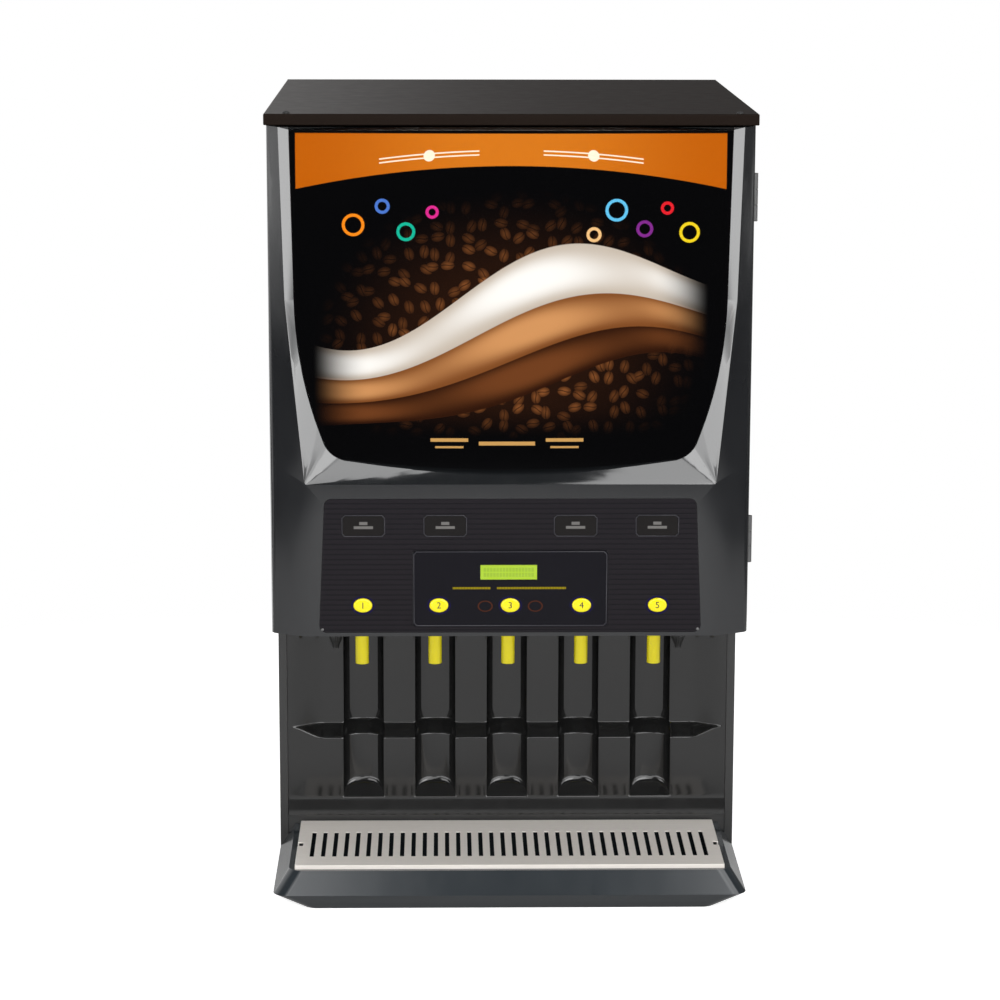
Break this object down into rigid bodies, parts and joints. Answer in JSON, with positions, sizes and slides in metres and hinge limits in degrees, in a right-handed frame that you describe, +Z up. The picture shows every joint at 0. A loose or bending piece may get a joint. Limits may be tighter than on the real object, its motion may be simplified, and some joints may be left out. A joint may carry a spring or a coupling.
{
  "type": "cappuccino dispenser",
  "caption": "Countertop powdered-drink dispenser with a hinged lit door, push buttons, nozzles over cup grooves, hoppers with augers and whippers, and a lift-out drip grille.",
  "frame": {"origin": "on the counter, under the middle of the object's bounding box", "axes": "+Z up, -Y towards the user, +X to the right as the user sees it"},
  "size_m": [0.5303, 0.596, 0.87],
  "materials": {
    "charcoal_paint": "satin",
    "door_plastic": "gloss",
    "splash_plastic": "semi-gloss",
    "tray_plastic": "semi-gloss",
    "lens_acrylic": "gloss",
    "stainless": "brushed",
    "inner_steel": "satin",
    "black_plastic": "matte",
    "overlay_film": "satin",
    "module_plastic": "gloss",
    "display_glass": "gloss",
    "yellow_plastic": "gloss",
    "natural_plastic": "satin",
    "white_plastic": "satin",
    "smoke_plastic": "satin",
    "motor_steel": "satin",
    "valve_plastic": "satin",
    "silicone": "matte",
    "brass": "satin",
    "black_rubber": "matte",
    "board_green": "satin",
    "lamp_white": "satin"
  },
  "bodies": {
    "cabinet": {"base_pan": "inner_steel", "left_side_panel": "charcoal_paint", "right_side_panel": "charcoal_paint", "rear_cover": "charcoal_paint", "top_cover": "charcoal_paint", "bulkhead": "inner_steel", "hopper_shelf": "inner_steel", "splash_panel": "splash_plastic", "thumb_screws": "black_plastic", "rubber_feet": "black_rubber", "hot_water_tank": "inner_steel", "heating_element": "inner_steel", "hot_water_tubes": "silicone", "water_valves": "valve_plastic", "mixer_motors": "motor_steel", "auger_motors": "motor_steel", "water_inlet": "brass", "cord_gland": "black_plastic", "hopper_lids": "white_plastic", "mixing_bowls": "smoke_plastic", "nozzle_tips": "yellow_plastic", "cabinet_hinges": "inner_steel", "door_catch": "black_plastic", "hopper_1": "natural_plastic", "hopper_2": "natural_plastic", "hopper_3": "natural_plastic", "hopper_4": "natural_plastic", "hopper_5": "natural_plastic"},
    "door": {"door_shell": "door_plastic", "window_lens": "lens_acrylic", "light_box": "lamp_white", "lamp_tubes": "lamp_white", "control_panel": "overlay_film", "display_module": "module_plastic", "lcd_window": "display_glass", "control_board": "board_green", "door_liner": "inner_steel", "door_hinges": "inner_steel"},
    "tray": {"drip_tray": "tray_plastic"},
    "grille": {"drip_grille": "stainless"},
    "auger_1": {"auger_1": "white_plastic"},
    "elbow_1": {"elbow_1": "smoke_plastic"},
    "whipper_1": {"whipper_1": "white_plastic"},
    "button_1": {"dispense_button_1": "yellow_plastic"},
    "auger_2": {"auger_2": "white_plastic"},
    "elbow_2": {"elbow_2": "smoke_plastic"},
    "whipper_2": {"whipper_2": "white_plastic"},
    "button_2": {"dispense_button_2": "yellow_plastic"},
    "auger_3": {"auger_3": "white_plastic"},
    "elbow_3": {"elbow_3": "smoke_plastic"},
    "whipper_3": {"whipper_3": "white_plastic"},
    "button_3": {"dispense_button_3": "yellow_plastic"},
    "auger_4": {"auger_4": "white_plastic"},
    "elbow_4": {"elbow_4": "smoke_plastic"},
    "whipper_4": {"whipper_4": "white_plastic"},
    "button_4": {"dispense_button_4": "yellow_plastic"},
    "auger_5": {"auger_5": "white_plastic"},
    "elbow_5": {"elbow_5": "smoke_plastic"},
    "whipper_5": {"whipper_5": "white_plastic"},
    "button_5": {"dispense_button_5": "yellow_plastic"}
  },
  "joints": [
    {"name": "door_hinge", "type": "hinge", "parent": "cabinet", "child": "door", "pos_m": [0.2645, -0.193, 0.304], "axis": [0, 0, 1], "range_deg": [0, 120]},
    {"name": "tray_slide", "type": "slide", "parent": "cabinet", "child": "tray", "axis": [0, -1, 0], "range_m": [0, 0.2]},
    {"name": "grille_lift", "type": "slide", "parent": "tray", "child": "grille", "axis": [0, 0, 1], "range_m": [0, 0.08]},
    {"name": "auger_1_spin", "type": "hinge", "parent": "cabinet", "child": "auger_1", "pos_m": [-0.164, -0.126, 0.5065], "axis": [0, 1, 0], "continuous": true},
    {"name": "elbow_1_turn", "type": "hinge", "parent": "cabinet", "child": "elbow_1", "pos_m": [-0.164, -0.126, 0.5065], "axis": [0, 1, 0], "range_deg": [0, 180]},
    {"name": "whipper_1_spin", "type": "hinge", "parent": "cabinet", "child": "whipper_1", "pos_m": [-0.164, -0.07, 0.352], "axis": [0, 1, 0], "continuous": true},
    {"name": "button_1_press", "type": "slide", "parent": "door", "child": "button_1", "axis": [0, 1, 0], "range_m": [0, 0.0015], "stiffness_N_per_m": 600},
    {"name": "auger_2_spin", "type": "hinge", "parent": "cabinet", "child": "auger_2", "pos_m": [-0.082, -0.126, 0.5065], "axis": [0, 1, 0], "continuous": true},
    {"name": "elbow_2_turn", "type": "hinge", "parent": "cabinet", "child": "elbow_2", "pos_m": [-0.082, -0.126, 0.5065], "axis": [0, 1, 0], "range_deg": [0, 180]},
    {"name": "whipper_2_spin", "type": "hinge", "parent": "cabinet", "child": "whipper_2", "pos_m": [-0.082, -0.07, 0.352], "axis": [0, 1, 0], "continuous": true},
    {"name": "button_2_press", "type": "slide", "parent": "door", "child": "button_2", "axis": [0, 1, 0], "range_m": [0, 0.0015], "stiffness_N_per_m": 600},
    {"name": "auger_3_spin", "type": "hinge", "parent": "cabinet", "child": "auger_3", "pos_m": [0, -0.126, 0.5065], "axis": [0, 1, 0], "continuous": true},
    {"name": "elbow_3_turn", "type": "hinge", "parent": "cabinet", "child": "elbow_3", "pos_m": [0, -0.126, 0.5065], "axis": [0, 1, 0], "range_deg": [0, 180]},
    {"name": "whipper_3_spin", "type": "hinge", "parent": "cabinet", "child": "whipper_3", "pos_m": [0, -0.07, 0.352], "axis": [0, 1, 0], "continuous": true},
    {"name": "button_3_press", "type": "slide", "parent": "door", "child": "button_3", "axis": [0, 1, 0], "range_m": [0, 0.0015], "stiffness_N_per_m": 600},
    {"name": "auger_4_spin", "type": "hinge", "parent": "cabinet", "child": "auger_4", "pos_m": [0.082, -0.126, 0.5065], "axis": [0, 1, 0], "continuous": true},
    {"name": "elbow_4_turn", "type": "hinge", "parent": "cabinet", "child": "elbow_4", "pos_m": [0.082, -0.126, 0.5065], "axis": [0, 1, 0], "range_deg": [0, 180]},
    {"name": "whipper_4_spin", "type": "hinge", "parent": "cabinet", "child": "whipper_4", "pos_m": [0.082, -0.07, 0.352], "axis": [0, 1, 0], "continuous": true},
    {"name": "button_4_press", "type": "slide", "parent": "door", "child": "button_4", "axis": [0, 1, 0], "range_m": [0, 0.0015], "stiffness_N_per_m": 600},
    {"name": "auger_5_spin", "type": "hinge", "parent": "cabinet", "child": "auger_5", "pos_m": [0.164, -0.126, 0.5065], "axis": [0, 1, 0], "continuous": true},
    {"name": "elbow_5_turn", "type": "hinge", "parent": "cabinet", "child": "elbow_5", "pos_m": [0.164, -0.126, 0.5065], "axis": [0, 1, 0], "range_deg": [0, 180]},
    {"name": "whipper_5_spin", "type": "hinge", "parent": "cabinet", "child": "whipper_5", "pos_m": [0.164, -0.07, 0.352], "axis": [0, 1, 0], "continuous": true},
    {"name": "button_5_press", "type": "slide", "parent": "door", "child": "button_5", "axis": [0, 1, 0], "range_m": [0, 0.0015], "stiffness_N_per_m": 600}
  ]
}
